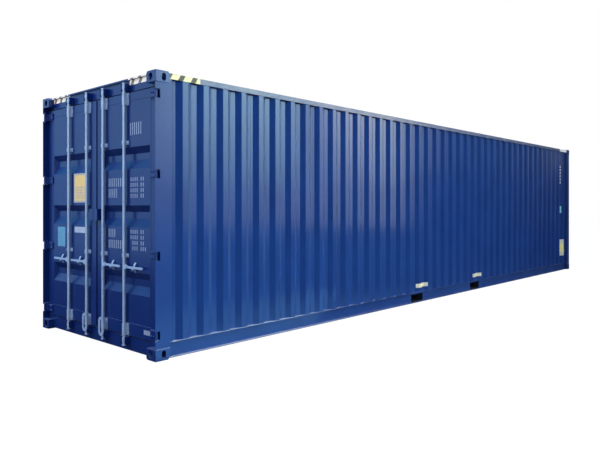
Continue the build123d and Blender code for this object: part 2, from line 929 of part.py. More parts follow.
def container_nodes():
    """All nodes of the container, name to list of solids."""
    nodes = castings()
    pairs = {
        "door_post": [door_post()],
        "front_post": [front_post()],
        "top_side_rail": [top_side_rail()],
        "bottom_side_rail": [bottom_side_rail()],
        "side_wall": [side_wall()],
    }
    pairs.update(door_nodes())
    for name, solids in pairs.items():
        nodes[f"right_{name}"] = solids
        nodes[f"left_{name}"] = [other_side(one) for one in solids]
    right_lugs = hinge_lugs()
    nodes["hinge_lugs"] = right_lugs + [other_side(one) for one in right_lugs]
    nodes["door_header"] = [door_header()]
    nodes["door_sill"] = [door_sill()]
    nodes["front_top_rail"] = [front_top_rail()]
    nodes["front_bottom_rail"] = [front_bottom_rail()]
    nodes["front_wall"] = [front_wall()]
    nodes["roof"] = [roof()]
    nodes["roof_plates"] = roof_plates()
    nodes["floor_boards"] = [floor_boards()]
    nodes["cross_members"] = cross_members()
    nodes["fork_pockets"] = fork_pockets()
    nodes["gooseneck_tunnel"] = [gooseneck_tunnel()]
    nodes["header_keepers"] = keepers(top_cam_level)
    nodes["sill_keepers"] = keepers(bottom_cam_level)
    return nodes


def write_parts():
    os.makedirs("parts", exist_ok=True)
    for name, solids in container_nodes().items():
        pieces = [solid for one in solids for solid in one.solids()]
        shape = pieces[0] if len(pieces) == 1 else Compound(children=pieces)
        export_step(shape, f"parts/{name}.step")


write_parts()
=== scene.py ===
import bmesh
import bpy
import math
from mathutils import Matrix, Vector


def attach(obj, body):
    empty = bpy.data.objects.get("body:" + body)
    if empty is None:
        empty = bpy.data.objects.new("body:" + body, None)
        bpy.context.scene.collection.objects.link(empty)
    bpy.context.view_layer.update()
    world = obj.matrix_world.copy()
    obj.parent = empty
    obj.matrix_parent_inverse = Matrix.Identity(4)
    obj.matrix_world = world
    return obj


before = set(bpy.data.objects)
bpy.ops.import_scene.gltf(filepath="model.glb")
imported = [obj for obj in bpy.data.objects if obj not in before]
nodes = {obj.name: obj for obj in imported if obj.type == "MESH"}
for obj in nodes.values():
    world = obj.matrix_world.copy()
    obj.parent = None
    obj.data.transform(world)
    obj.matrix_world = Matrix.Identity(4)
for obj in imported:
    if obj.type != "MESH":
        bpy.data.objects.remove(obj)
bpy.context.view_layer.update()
print("frame loaded:", len(nodes), "nodes")

# The real sizes that the added pieces need, in metres. X runs along the box with the doors at -X.
box = {
    "length": 12.192,
    "width": 2.438,
    "height": 2.896,
    "castingLength": 0.178,
    "castingWidth": 0.162,
    "castingHeight": 0.118,
    "leafFace": 0.062,        # behind the plane of the door end's castings
    "leafInner": 0.014,
    "leafOuter": 1.155,
    "leafBottom": 0.174,
    "leafTop": 2.739,
    "sideInset": 0.008,
    "sideDepth": 0.036,
    "railInset": 0.004,
    "railTop": 0.174,
    "topRailBottom": 2.822,
    "topRailTop": 2.882,
}
doorEnd = -box["length"] / 2
frontEnd = box["length"] / 2
halfWidth = box["width"] / 2
leafPlane = doorEnd + box["leafFace"]
hands = {"right": -1, "left": 1}   # right is the hand of a person who faces the doors


# Materials

def linear(text):
    channels = [int(text[i:i + 2], 16) / 255 for i in (0, 2, 4)]
    return [c / 12.92 if c <= 0.04045 else ((c + 0.055) / 1.055) ** 2.4 for c in channels] + [1.0]


def add(tree, kind, values=None, links=None, stops=None, **settings):
    # inputs go by name or number, and a node given as a link stands for its first output in use
    made = tree.nodes.new(kind)
    for key, value in settings.items():
        setattr(made, key, value)
    for socket, value in (values or {}).items():
        made.inputs[socket].default_value = value
    for socket, source in (links or {}).items():
        if isinstance(source, bpy.types.Node):
            source = next(output for output in source.outputs if output.enabled)
        tree.links.new(source, made.inputs[socket])
    for i, (place, colour) in enumerate(stops or ()):
        stop = made.color_ramp.elements[i] if i < 2 else made.color_ramp.elements.new(place)
        stop.position = place
        stop.color = linear(colour)
    return made


def startMaterial(name):
    material = bpy.data.materials.new(name)
    material.use_nodes = True
    material.node_tree.nodes.clear()
    return material, material.node_tree


enamel = {
    "outside": "1a3c81",         # ultramarine topcoat
    "outsideDeep": "18387b",
    "inside": "b9bdb8",          # light grey coat towards the cargo
    "insideDeep": "a9ada8",
    "patches": (0.35, 0.65),     # levels of the noise between which deep turns to plain
    "tone": 0.45,                # metres across a soft patch of colour
    "inward": -0.2,              # a face is on the cargo side below this product of its facing and place
    "shine": 0.3,
    "rough": (0.19, 0.27),
    "wallRough": (0.10, 0.15),   # the long walls have the smoothest coat
    "wipe": 0.22,                # metres across a patch of duller or smoother gloss
    "sheetWave": 0.30,           # rolled sheet is never quite flat, and its waves run upwards
    "sheetWaveRise": 0.2,
    "sheetWaveDepth": 0.00015,
    "orangePeel": 0.014,         # 2 to 3 mm in life, drawn coarser so that it shows
    "orangePeelDepth": 0.00004,
    "castGrain": 0.009,          # 3 mm grains of a sand cast skin, drawn coarser so that they show
    "castDepth": 0.00006,
    "castShine": 0.48,
    "paleGrey": "a8a49c",           # a paler grey mixed into the topcoat in blotches
    "paleGreySpan": (0.6, 1.4),     # times the share that a finish asks for
    "blotch": 0.20,
    "blotchLevels": (0.3, 0.7),
    "paintedSlopeSheen": "92ac9a",      # painted sheen on rib slopes turned to the closed end, more towards the top
    "slopeFacing": 0.2,
    "slopeHeights": (0.3, 2.3),
    "slopeShare": (0.02, 0.16),
    "dust": "7c7868",            # road dust, thickest near the ground
    "dustTop": 0.42,
    "dustShare": 0.03,
    "smudge": 0.08,
    "paleDustAndHighlight": "cbd8f2",        # pale layer on ledges: dry dust, and a painted highlight of the light from above
    "ledgeFacing": 0.6,
    "ledgeHeights": (0.3, 2.6),
    "ledgeDustAndHighlight": 0.75,
    "roofDustAndHighlight": 0.12,
    "castDustAndHighlight": 0.3,         # less of the pale ledge layer of dust and painted highlight on the castings
    "edgeHeights": (0.156, 0.172),   # the pale layer of dust and painted highlight grows between these on the bottom rails' upper edge
    "edgeShare": 0.6,
    "dustAndHighlightReach": (-4.2, -2.4),   # the pale ledge layer is strong near the doors and weak beyond: dust, and a painted highlight brightest near the doors
    "reachShare": (0.8, 0.08),
}


def makeEnamel(name, cargoAxis=None, castRelief=0.0, dustAndHighlightShare=1.0, paleGreyShare=0.0, slopeSheen=False, edge=False,
               shine=enamel["shine"], rough=enamel["rough"]):
    # Alkyd enamel sprayed over zinc primer: deep even colour, a soft gloss, faint waves of the sheet under it
    material, tree = startMaterial(name)
    place = add(tree, "ShaderNodeTexCoord")
    spot = add(tree, "ShaderNodeSeparateXYZ", links={0: place.outputs["Object"]})
    facing = add(tree, "ShaderNodeSeparateXYZ", links={0: place.outputs["Normal"]})
    patches = add(tree, "ShaderNodeTexNoise", {"Scale": 1 / enamel["tone"], "Detail": 3.0},
                  {"Vector": place.outputs["Object"]})
    coat = add(tree, "ShaderNodeValToRGB", links={0: patches},
               stops=zip(enamel["patches"], (enamel["outsideDeep"], enamel["outside"])))
    # the topcoat is mixed with a paler grey in blotches
    if paleGreyShare:
        blotches = add(tree, "ShaderNodeTexNoise", {"Scale": 1 / enamel["blotch"], "Detail": 5.0},
                       {"Vector": place.outputs["Object"]})
        (low, high), (least, most) = enamel["blotchLevels"], enamel["paleGreySpan"]
        worn = add(tree, "ShaderNodeMapRange",
                   {"From Min": low, "From Max": high, "To Min": paleGreyShare * least, "To Max": paleGreyShare * most},
                   {"Value": blotches})
        coat = add(tree, "ShaderNodeMix", {"B": linear(enamel["paleGrey"])}, {"Factor": worn, "A": coat},
                   data_type="RGBA")
    # painted sheen: rib slopes turned to the closed end get a paler colour, more towards the top
    if slopeSheen:
        turned = add(tree, "ShaderNodeMath", {1: enamel["slopeFacing"]}, {0: facing.outputs["X"]},
                     operation="GREATER_THAN")
        (low, high), (least, most) = enamel["slopeHeights"], enamel["slopeShare"]
        height = add(tree, "ShaderNodeMapRange",
                     {"From Min": low, "From Max": high, "To Min": least, "To Max": most},
                     {"Value": spot.outputs["Z"]})
        slopeSheenShare = add(tree, "ShaderNodeMath", links={0: turned, 1: height}, operation="MULTIPLY")
        coat = add(tree, "ShaderNodeMix", {"B": linear(enamel["paintedSlopeSheen"])},
                   {"Factor": slopeSheenShare, "A": coat}, data_type="RGBA")
    if cargoAxis:   # a face turned to the middle of the box along this axis has the cargo side's grey coat
        inward = add(tree, "ShaderNodeMath",
                     links={0: facing.outputs[cargoAxis], 1: spot.outputs[cargoAxis]}, operation="MULTIPLY")
        cargo = add(tree, "ShaderNodeMath", {1: enamel["inward"]}, {0: inward}, operation="LESS_THAN")
        grey = add(tree, "ShaderNodeValToRGB", links={0: patches},
                   stops=zip(enamel["patches"], (enamel["insideDeep"], enamel["inside"])))
        coat = add(tree, "ShaderNodeMix", links={"Factor": cargo, "A": coat, "B": grey}, data_type="RGBA")
    splash = add(tree, "ShaderNodeMapRange",
                 {"From Max": enamel["dustTop"], "To Min": enamel["dustShare"], "To Max": 0.0},
                 {"Value": spot.outputs["Z"]})
    smudges = add(tree, "ShaderNodeTexNoise", {"Scale": 1 / enamel["smudge"], "Detail": 5.0},
                  {"Vector": place.outputs["Object"]})
    share = add(tree, "ShaderNodeMath", links={0: splash, 1: smudges}, operation="MULTIPLY")
    dusty = add(tree, "ShaderNodeMix", {"B": linear(enamel["dust"])}, {"Factor": share, "A": coat},
                data_type="RGBA")
    # Upward faces get a pale layer: partly dry dust, partly a painted highlight of the light from above
    level = add(tree, "ShaderNodeMath", {1: enamel["ledgeFacing"]}, {0: facing.outputs["Z"]},
                operation="GREATER_THAN")
    low, high = enamel["ledgeHeights"]
    ledgeAmount = add(tree, "ShaderNodeMapRange",
                  {"From Min": low, "From Max": high, "To Min": enamel["ledgeDustAndHighlight"] * dustAndHighlightShare,
                   "To Max": enamel["roofDustAndHighlight"]}, {"Value": spot.outputs["Z"]})
    layer = add(tree, "ShaderNodeMath", links={0: level, 1: ledgeAmount}, operation="MULTIPLY")
    # painted highlight with dust: the bottom rails' upper edge gets the pale layer too
    if edge:
        low, high = enamel["edgeHeights"]
        brow = add(tree, "ShaderNodeMapRange",
                   {"From Min": low, "From Max": high, "To Max": enamel["edgeShare"]},
                   {"Value": spot.outputs["Z"]})
        layer = add(tree, "ShaderNodeMath", links={0: layer, 1: brow}, operation="MAXIMUM")
    # the pale ledge layer, dust and painted highlight, fades from near the doors to weak beyond
    if not cargoAxis:
        (near, far), (nearShare, farShare) = enamel["dustAndHighlightReach"], enamel["reachShare"]
        fading = add(tree, "ShaderNodeMapRange",
                     {"From Min": near, "From Max": far, "To Min": nearShare, "To Max": farShare},
                     {"Value": spot.outputs["X"]})
        layer = add(tree, "ShaderNodeMath", links={0: layer, 1: fading}, operation="MULTIPLY")
    ledges = add(tree, "ShaderNodeMix", {"B": linear(enamel["paleDustAndHighlight"])}, {"Factor": layer, "A": dusty},
                 data_type="RGBA")
    wipes = add(tree, "ShaderNodeTexNoise", {"Scale": 1 / enamel["wipe"], "Detail": 3.0},
                {"Vector": place.outputs["Object"]})
    gloss = add(tree, "ShaderNodeMapRange", {"To Min": rough[0], "To Max": rough[1]}, {"Value": wipes})
    upwards = add(tree, "ShaderNodeMapping", {"Scale": (1, 1, enamel["sheetWaveRise"])},
                  {"Vector": place.outputs["Object"]})
    waves = add(tree, "ShaderNodeTexNoise", {"Scale": 1 / enamel["sheetWave"], "Detail": 1.0},
                {"Vector": upwards})
    relief = add(tree, "ShaderNodeBump", {"Distance": enamel["sheetWaveDepth"]}, {"Height": waves})
    peel = add(tree, "ShaderNodeTexNoise", {"Scale": 1 / enamel["orangePeel"], "Detail": 1.0},
               {"Vector": place.outputs["Object"]})
    relief = add(tree, "ShaderNodeBump", {"Distance": enamel["orangePeelDepth"]},
                 {"Height": peel, "Normal": relief})
    if castRelief:
        grains = add(tree, "ShaderNodeTexNoise", {"Scale": 1 / enamel["castGrain"], "Detail": 4.0},
                     {"Vector": place.outputs["Object"]})
        relief = add(tree, "ShaderNodeBump", {"Distance": castRelief}, {"Height": grains, "Normal": relief})
    shader = add(tree, "ShaderNodeBsdfPrincipled", {"IOR": 1.5, "Specular IOR Level": shine},
                 {"Base Color": ledges, "Roughness": gloss, "Normal": relief})
    add(tree, "ShaderNodeOutputMaterial", links={"Surface": shader})
    return material


zinc = {
    "colours": ("b8c9dc", "c6d6e6", "d4e2ee"),
    "levels": (0.15, 0.5, 0.85),
    "spangle": 0.014,    # metres across a grain
    "cloud": 0.12,
    "grainShare": 0.25,
    "rough": (0.38, 0.58),
    "metallic": 0.25,
    "drip": 0.020,
    "dripDepth": 0.0001,
}


def makeZinc():
    # Hot dip galvanised steel: pale blue grey zinc with spangle grains and a dull sheen
    material, tree = startMaterial("hot dip galvanised steel")
    place = add(tree, "ShaderNodeTexCoord")
    grains = add(tree, "ShaderNodeTexVoronoi", {"Scale": 1 / zinc["spangle"]},
                 {"Vector": place.outputs["Object"]})
    shade = add(tree, "ShaderNodeSeparateColor", links={0: grains.outputs["Color"]})
    cloud = add(tree, "ShaderNodeTexNoise", {"Scale": 1 / zinc["cloud"], "Detail": 4.0},
                {"Vector": place.outputs["Object"]})
    blended = add(tree, "ShaderNodeMix", {"Factor": zinc["grainShare"]},
                  {"A": cloud, "B": shade.outputs["Red"]})
    colours = add(tree, "ShaderNodeValToRGB", links={0: blended},
                  stops=zip(zinc["levels"], zinc["colours"]))
    dull = add(tree, "ShaderNodeMapRange", {"To Min": zinc["rough"][0], "To Max": zinc["rough"][1]},
               {"Value": shade.outputs["Green"]})
    drips = add(tree, "ShaderNodeTexNoise", {"Scale": 1 / zinc["drip"], "Detail": 4.0},
                {"Vector": place.outputs["Object"]})
    relief = add(tree, "ShaderNodeBump", {"Distance": zinc["dripDepth"]}, {"Height": drips})
    shader = add(tree, "ShaderNodeBsdfPrincipled", {"Metallic": zinc["metallic"]},
                 {"Base Color": colours, "Roughness": dull, "Normal": relief})
    add(tree, "ShaderNodeOutputMaterial", links={"Surface": shader})
    return material


rubber = {"colours": ("101114", "1c1d21"), "levels": (0.3, 0.7), "mark": 0.010, "drawn": 0.04,
          "rough": (0.65, 0.8), "depth": 0.0002, "shine": 0.35}


def makeRubber():
    # Extruded EPDM rubber: near black, matt, with fine lengthwise drag marks
    material, tree = startMaterial("extruded rubber")
    place = add(tree, "ShaderNodeTexCoord")
    drawn = add(tree, "ShaderNodeMapping", {"Scale": (1, 1, rubber["drawn"])},
                {"Vector": place.outputs["Object"]})
    marks = add(tree, "ShaderNodeTexNoise", {"Scale": 1 / rubber["mark"]}, {"Vector": drawn})
    colours = add(tree, "ShaderNodeValToRGB", links={0: marks},
                  stops=zip(rubber["levels"], rubber["colours"]))
    dull = add(tree, "ShaderNodeMapRange", {"To Min": rubber["rough"][0], "To Max": rubber["rough"][1]},
               {"Value": marks})
    relief = add(tree, "ShaderNodeBump", {"Distance": rubber["depth"]}, {"Height": marks})
    shader = add(tree, "ShaderNodeBsdfPrincipled", {"Specular IOR Level": rubber["shine"]},
                 {"Base Color": colours, "Roughness": dull, "Normal": relief})
    add(tree, "ShaderNodeOutputMaterial", links={"Surface": shader})
    return material


plywoodSheet = {
    "length": 2.4,
    "width": 1.16,
    "joint": 0.003,
    "colours": ("8a5a3a", "7a4c30"),
    "gap": "1c130d",
    "fibres": ("5d3a24", "8c5d3c", "a67450"),
    "fibreLevels": (0.25, 0.55, 0.8),
    "grain": 0.03,
    "grainRun": 0.05,    # grain is drawn out along the box
    "rough": (0.45, 0.7),
    "depth": 0.0004,
    "shine": 0.4,
}


def makePlywood():
    # Hardwood plywood, oiled: red brown sheets with grain along the box and dark joints
    material, tree = startMaterial("oiled hardwood plywood")
    place = add(tree, "ShaderNodeTexCoord")
    along = add(tree, "ShaderNodeMapping", {"Scale": (plywoodSheet["grainRun"], 1, 1)},
                {"Vector": place.outputs["Object"]})
    grain = add(tree, "ShaderNodeTexNoise", {"Scale": 1 / plywoodSheet["grain"], "Detail": 8.0},
                {"Vector": along})
    boards = add(tree, "ShaderNodeTexBrick",
                 {"Scale": 1.0, "Mortar Size": plywoodSheet["joint"], "Brick Width": plywoodSheet["length"],
                  "Row Height": plywoodSheet["width"], "Color1": linear(plywoodSheet["colours"][0]),
                  "Color2": linear(plywoodSheet["colours"][1]), "Mortar": linear(plywoodSheet["gap"])},
                 {"Vector": place.outputs["Object"]}, offset=0.0)
    fibres = add(tree, "ShaderNodeValToRGB", links={0: grain},
                 stops=zip(plywoodSheet["fibreLevels"], plywoodSheet["fibres"]))
    wood = add(tree, "ShaderNodeMix", {"Factor": 0.5}, {"A": boards.outputs["Color"], "B": fibres},
               data_type="RGBA")
    joints = add(tree, "ShaderNodeMix", {"B": linear(plywoodSheet["gap"])},
                 {"Factor": boards.outputs["Fac"], "A": wood}, data_type="RGBA")
    smooth, worn = plywoodSheet["rough"]
    wear = add(tree, "ShaderNodeMapRange", {"To Min": smooth, "To Max": worn}, {"Value": grain})
    relief = add(tree, "ShaderNodeBump", {"Distance": plywoodSheet["depth"]}, {"Height": grain})
    shader = add(tree, "ShaderNodeBsdfPrincipled", {"Specular IOR Level": plywoodSheet["shine"]},
                 {"Base Color": joints, "Roughness": wear, "Normal": relief})
    add(tree, "ShaderNodeOutputMaterial", links={"Surface": shader})
    return material


underseal = {"colours": ("17171a", "24252b"), "levels": (0.3, 0.7), "lump": 0.012, "cloud": 0.15,
             "rough": (0.55, 0.85), "depth": 0.0008, "shine": 0.3}


def makeUndercoat():
    # Bitumen underseal, sprayed thick: black brown, dull and lumpy
    material, tree = startMaterial("sprayed bitumen underseal")
    place = add(tree, "ShaderNodeTexCoord")
    lumps = add(tree, "ShaderNodeTexNoise", {"Scale": 1 / underseal["lump"], "Detail": 5.0},
                {"Vector": place.outputs["Object"]})
    cloud = add(tree, "ShaderNodeTexNoise", {"Scale": 1 / underseal["cloud"], "Detail": 4.0},
                {"Vector": place.outputs["Object"]})
    colours = add(tree, "ShaderNodeValToRGB", links={0: cloud},
                  stops=zip(underseal["levels"], underseal["colours"]))
    dull = add(tree, "ShaderNodeMapRange", {"To Min": underseal["rough"][0], "To Max": underseal["rough"][1]},
               {"Value": lumps})
    relief = add(tree, "ShaderNodeBump", {"Distance": underseal["depth"]}, {"Height": lumps})
    shader = add(tree, "ShaderNodeBsdfPrincipled", {"Specular IOR Level": underseal["shine"]},
                 {"Base Color": colours, "Roughness": dull, "Normal": relief})
    add(tree, "ShaderNodeOutputMaterial", links={"Surface": shader})
    return material


vinyl = {"levels": (0.3, 0.7), "cloud": 0.06, "scuff": 0.020, "smoother": 0.08, "duller": 0.12,
         "depth": 0.00008, "shine": 0.4, "rough": 0.42}


def makeFilm(name, pale, deep, roughness=vinyl["rough"], printed=None, paintedGlow=0.0):
    # Cast vinyl film: even colour, slightly cloudy from handling, satin. Slanted bars may be printed on it,
    # and it may be given a painted glow in its own colour, standing in for the light its glass beads send
    # back
    material, tree = startMaterial(name)
    place = add(tree, "ShaderNodeTexCoord")
    cloud = add(tree, "ShaderNodeTexNoise", {"Scale": 1 / vinyl["cloud"], "Detail": 4.0},
                {"Vector": place.outputs["Object"]})
    colours = add(tree, "ShaderNodeValToRGB", links={0: cloud}, stops=zip(vinyl["levels"], (deep, pale)))
    if printed:
        centred = add(tree, "ShaderNodeMapping", {"Location": printed["start"]},
                      {"Vector": place.outputs["Object"]}, vector_type="TEXTURE")
        along = [part / printed["pitch"] for part in printed["along"]]
        across = add(tree, "ShaderNodeVectorMath", {1: along}, {0: centred}, operation="DOT_PRODUCT")
        turn = add(tree, "ShaderNodeMath", links={0: across}, operation="FRACT")
        bars = add(tree, "ShaderNodeMath", {1: printed["share"]}, {0: turn}, operation="LESS_THAN")
        colours = add(tree, "ShaderNodeMix", {"B": linear(printed["ink"])}, {"Factor": bars, "A": colours},
                      data_type="RGBA")
    scuffs = add(tree, "ShaderNodeTexNoise", {"Scale": 1 / vinyl["scuff"], "Detail": 3.0},
                 {"Vector": place.outputs["Object"]})
    dull = add(tree, "ShaderNodeMapRange",
               {"To Min": roughness - vinyl["smoother"], "To Max": roughness + vinyl["duller"]},
               {"Value": scuffs})
    relief = add(tree, "ShaderNodeBump", {"Distance": vinyl["depth"]}, {"Height": cloud})
    # painted glow: the film gives off light in its own colour
    shader = add(tree, "ShaderNodeBsdfPrincipled",
                 {"Specular IOR Level": vinyl["shine"], "Emission Strength": paintedGlow},
                 {"Base Color": colours, "Roughness": dull, "Normal": relief, "Emission Color": colours})
    add(tree, "ShaderNodeOutputMaterial", links={"Surface": shader})
    return material


# Slanted bars: where the first dark bar starts, the way along the row with its lean, metres from bar to bar
# and the dark share
sideBars = {"start": (-5.801, 0, 2.852), "along": (1, 0, -0.6), "pitch": 0.162, "share": 0.4, "ink": "48443a"}
endBars = {"start": (0, -1.030, 2.865), "along": (0, 1, 0.6), "pitch": 0.143, "share": 0.4, "ink": "84705f"}

blueEnamel = makeEnamel("alkyd enamel sprayed on rolled steel")
sideEnamel = makeEnamel("alkyd enamel, grey inside the long walls", "Y", slopeSheen=True,
                        rough=enamel["wallRough"])
endEnamel = makeEnamel("alkyd enamel, grey inside the ends", "X")
roofEnamel = makeEnamel("alkyd enamel, grey under the roof", "Z")
railEnamel = makeEnamel("alkyd enamel, paler grey in blotches on the top rails", paleGreyShare=0.25)
footEnamel = makeEnamel("alkyd enamel, dusty edges of the bottom rails", edge=True)
castEnamel = makeEnamel("alkyd enamel sprayed on cast steel", castRelief=enamel["castDepth"],
                        dustAndHighlightShare=enamel["castDustAndHighlight"], shine=enamel["castShine"])
zincSteel = makeZinc()
sealRubber = makeRubber()
plywood = makePlywood()
undercoat = makeUndercoat()
whiteFilm = makeFilm("white cast vinyl film", "f4f6fb", "e6eaf2")
tallyFilm = makeFilm("worn white vinyl film", "c6cddc", "b4bccd")
agedFilm = makeFilm("sun aged white vinyl film", "d6d6cb", "c8c8bd")
yellowFilm = makeFilm("amber reflective film with painted glow", "ffda88", "fccf72", paintedGlow=0.30)
lemonFilm = makeFilm("pale yellow vinyl film", "f2e9a0", "e8dd90")
cyanFilm = makeFilm("printed aluminium plate", "86cfe0", "78c0d6", 0.35)
borderFilm = makeFilm("cream cast vinyl film", "ece4cf", "ddd5c2")
sideHazard = makeFilm("yellow hazard film", "dcdbb0", "d2d1a4", printed=sideBars)
endHazard = makeFilm("white hazard film", "fff6e4", "f6ead4", printed=endBars, paintedGlow=0.50)
print("materials made")

# CAD nodes keep their shapes and get the real finishes
galvanised = ("lock_bar", "handle", "bar_guides", "door_fittings")
sealed = ("cross_members", "gooseneck_tunnel", "fork_pockets")
linings = {"roof": roofEnamel, "front_wall": endEnamel}
for hand in hands:
    linings[hand + "_side_wall"] = sideEnamel
    linings[hand + "_top_side_rail"] = railEnamel
    linings[hand + "_bottom_side_rail"] = footEnamel
    linings[hand + "_door_panel"] = linings[hand + "_door_frame"] = endEnamel
for name, node in nodes.items():
    if name in linings:
        finish = linings[name]
    elif "castings" in name:
        finish = castEnamel
    elif name.endswith("seal"):
        finish = sealRubber
    elif name == "floor_boards":
        finish = plywood
    elif name in sealed:
        finish = undercoat
    elif name.endswith(galvanised):
        finish = zincSteel
    else:
        finish = blueEnamel
    node.data.materials.clear()
    node.data.materials.append(finish)
print("nodes finished")


# Modelling helpers

def linkMesh(name, shape, materials):
    mesh = bpy.data.meshes.new(name)
    shape.to_mesh(mesh)
    shape.free()
    for material in materials:
        mesh.materials.append(material)
    made = bpy.data.objects.new(name, mesh)
    bpy.context.scene.collection.objects.link(made)
    return made


def finishPiece(name, shape, body, materials):
    bmesh.ops.recalc_face_normals(shape, faces=shape.faces)
    piece = linkMesh(name, shape, materials)
    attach(piece, body)
    return piece


def softBlock(shape, low, high, edge=0.0, materialIndex=0):
    # a block between two corners, with its edges eased
    size = Vector(high) - Vector(low)
    middle = (Vector(low) + Vector(high)) / 2
    before = set(shape.faces)
    place = Matrix.Translation(middle) @ Matrix.Diagonal((*size, 1))
    made = bmesh.ops.create_cube(shape, size=1, matrix=place)
    if edge:
        edges = list({e for v in made["verts"] for e in v.link_edges})
        bmesh.ops.bevel(shape, geom=edges, offset=edge, offset_type="OFFSET", affect="EDGES", segments=1,
                        profile=0.5, material=-1)
    for face in set(shape.faces) - before:
        face.material_index = materialIndex


def roundBar(shape, start, end, radiusStart, radiusEnd, segments):
    # a round bar or a cone between two points
    start, end = Vector(start), Vector(end)
    along = end - start
    turn = along.to_track_quat("Z", "Y").to_matrix().to_4x4()
    bmesh.ops.create_cone(shape, cap_ends=True, segments=segments, radius1=radiusStart, radius2=radiusEnd,
                          depth=along.length, matrix=Matrix.Translation((start + end) / 2) @ turn)


def raiseLine(shape, points, rise):
    # a line of points is lifted into a strip that stands upright
    line = [shape.verts.new(point) for point in points]
    edges = [shape.edges.new(pair) for pair in zip(line, line[1:])]
    lifted = bmesh.ops.extrude_edge_only(shape, edges=edges)["geom"]
    upper = [made for made in lifted if isinstance(made, bmesh.types.BMVert)]
    bmesh.ops.translate(shape, verts=upper, vec=(0, 0, rise))
    return [made for made in lifted if isinstance(made, bmesh.types.BMFace)]


# Weld seams: half sunk round beads where the sheets and sections meet

weld = {
    "radius": 0.002,
    "sheetRadius": 0.0012,
    "sides": 8,
    "leafRails": (0.306, 2.651),
    "stile": 0.100,
    "seamEvery": 4,               # ribs from one upright seam of the wall to the next
    "endShort": (0.002, 0.005),   # the seams on the castings stop this far short of the two ends
}
ribs = {"first": 0.275, "pitch": 0.278, "count": 42, "inner": 0.070, "slope": 0.068, "outer": 0.072}


def bead(shape, start, end, radius=weld["radius"]):
    roundBar(shape, start, end, radius, radius, weld["sides"])


for hand, side in hands.items():
    shape = bmesh.new()
    inner = side * (box["leafInner"] + weld["stile"])
    outer = side * (box["leafOuter"] - weld["stile"])
    low, high = weld["leafRails"]
    for z in (low, high):
        bead(shape, (leafPlane, inner, z), (leafPlane, outer, z))
    for y in (inner, outer):
        bead(shape, (leafPlane, y, low), (leafPlane, y, high))
    finishPiece(f"{hand}DoorWelds", shape, f"{hand}_door", [blueEnamel])

    shape = bmesh.new()
    plane = side * (halfWidth - box["sideInset"] - box["sideDepth"])
    for i in range(0, ribs["count"], weld["seamEvery"]):
        x = doorEnd + ribs["first"] + i * ribs["pitch"] - ribs["inner"] / 2
        bead(shape, (x, plane, box["railTop"]), (x, plane, box["topRailBottom"]), weld["sheetRadius"])
    y = side * (halfWidth - box["railInset"])
    atDoors, atFront = weld["endShort"]
    for z in (box["castingHeight"], box["height"] - box["castingHeight"]):
        bead(shape, (doorEnd + atDoors, y, z), (doorEnd + box["castingLength"], y, z))
        bead(shape, (frontEnd - box["castingLength"], y, z), (frontEnd - atFront, y, z))
    finishPiece(f"{hand}SideWelds", shape, "frame", [blueEnamel])
print("welds made")


# Bolts: domed lock bolts through the hinge blades and the bar guides

bolt = {
    "washer": 0.013,
    "washerHeight": 0.002,
    "dome": ((0.0, 0.009), (0.0036, 0.00765), (0.006, 0.0036)),   # height above the washer, radius
    "sides": 12,
}


def domeBolt(shape, x, y, z):
    # head towards the viewer of the doors
    top = x - bolt["washerHeight"]
    roundBar(shape, (x, y, z), (top, y, z), bolt["washer"], bolt["washer"], bolt["sides"])
    for (low, wide), (high, narrow) in zip(bolt["dome"], bolt["dome"][1:]):
        roundBar(shape, (top - low, y, z), (top - high, y, z), wide, narrow, bolt["sides"])


gear = {
    "bars": (0.179, 0.604),
    "guideLevels": (2.214, 1.018),
    "guidePlate": 0.005,
    "guideHalf": 0.037,
    "endGuide": 0.126,       # height of the guides at the leaf's head and foot
    "endGuideBolt": 0.025,   # from their ends
    "hinges": (2.662, 1.862, 1.042, 0.252),
    "bladeBolts": (1.110, 1.075),
    "bladeThickness": 0.012,
    "bladeHalf": 0.026,
}

for hand, side in hands.items():
    levels = list(gear["guideLevels"])
    for low in (box["leafTop"] - gear["endGuide"], box["leafBottom"]):
        levels += [low + gear["endGuideBolt"], low + gear["endGuide"] - gear["endGuideBolt"]]
    shape = bmesh.new()
    for offset in gear["bars"]:
        for reach in (-gear["guideHalf"], gear["guideHalf"]):
            for z in levels:
                domeBolt(shape, leafPlane - gear["guidePlate"], side * (offset + reach), z)
    finishPiece(f"{hand}GuideBolts", shape, f"{hand}_door", [zincSteel])

    shape = bmesh.new()
    for level in gear["hinges"]:
        for rise in (-gear["bladeHalf"], gear["bladeHalf"]):
            for y in gear["bladeBolts"]:
                domeBolt(shape, leafPlane - gear["bladeThickness"], side * y, level + rise)
    finishPiece(f"{hand}HingeBolts", shape, f"{hand}_door", [blueEnamel])
print("bolts made")


# Films and plates on the leaves: bare fields, with plain borders and lines

film = {"thickness": 0.0006, "edge": 0.0002, "lift": 0.0008}


def doorFilm(shape, y0, y1, z0, z1, rise=0.0, index=0):
    face = leafPlane - rise
    softBlock(shape, (face - film["thickness"], min(y0, y1), z0), (face, max(y0, y1), z1), film["edge"],
              index)


amberField = {"y": (0.532, 0.221), "z": (1.582, 1.928), "border": 0.022, "lines": 5, "firstLine": 0.052,
              "linePitch": 0.030, "lineHeight": 0.012, "lineInset": 0.050}
shape = bmesh.new()
outer, inner = amberField["y"]
low, high = amberField["z"]
border, inset = amberField["border"], amberField["lineInset"]
doorFilm(shape, outer, inner, low, high)
doorFilm(shape, outer - border, inner + border, low + border, high - border, film["thickness"], 1)
for i in range(amberField["lines"]):
    z = low + amberField["firstLine"] + i * amberField["linePitch"]
    doorFilm(shape, outer - inset, inner + inset, z, z + amberField["lineHeight"], 2 * film["thickness"])
finishPiece("leftDoorYellowField", shape, "left_door", [borderFilm, yellowFilm])

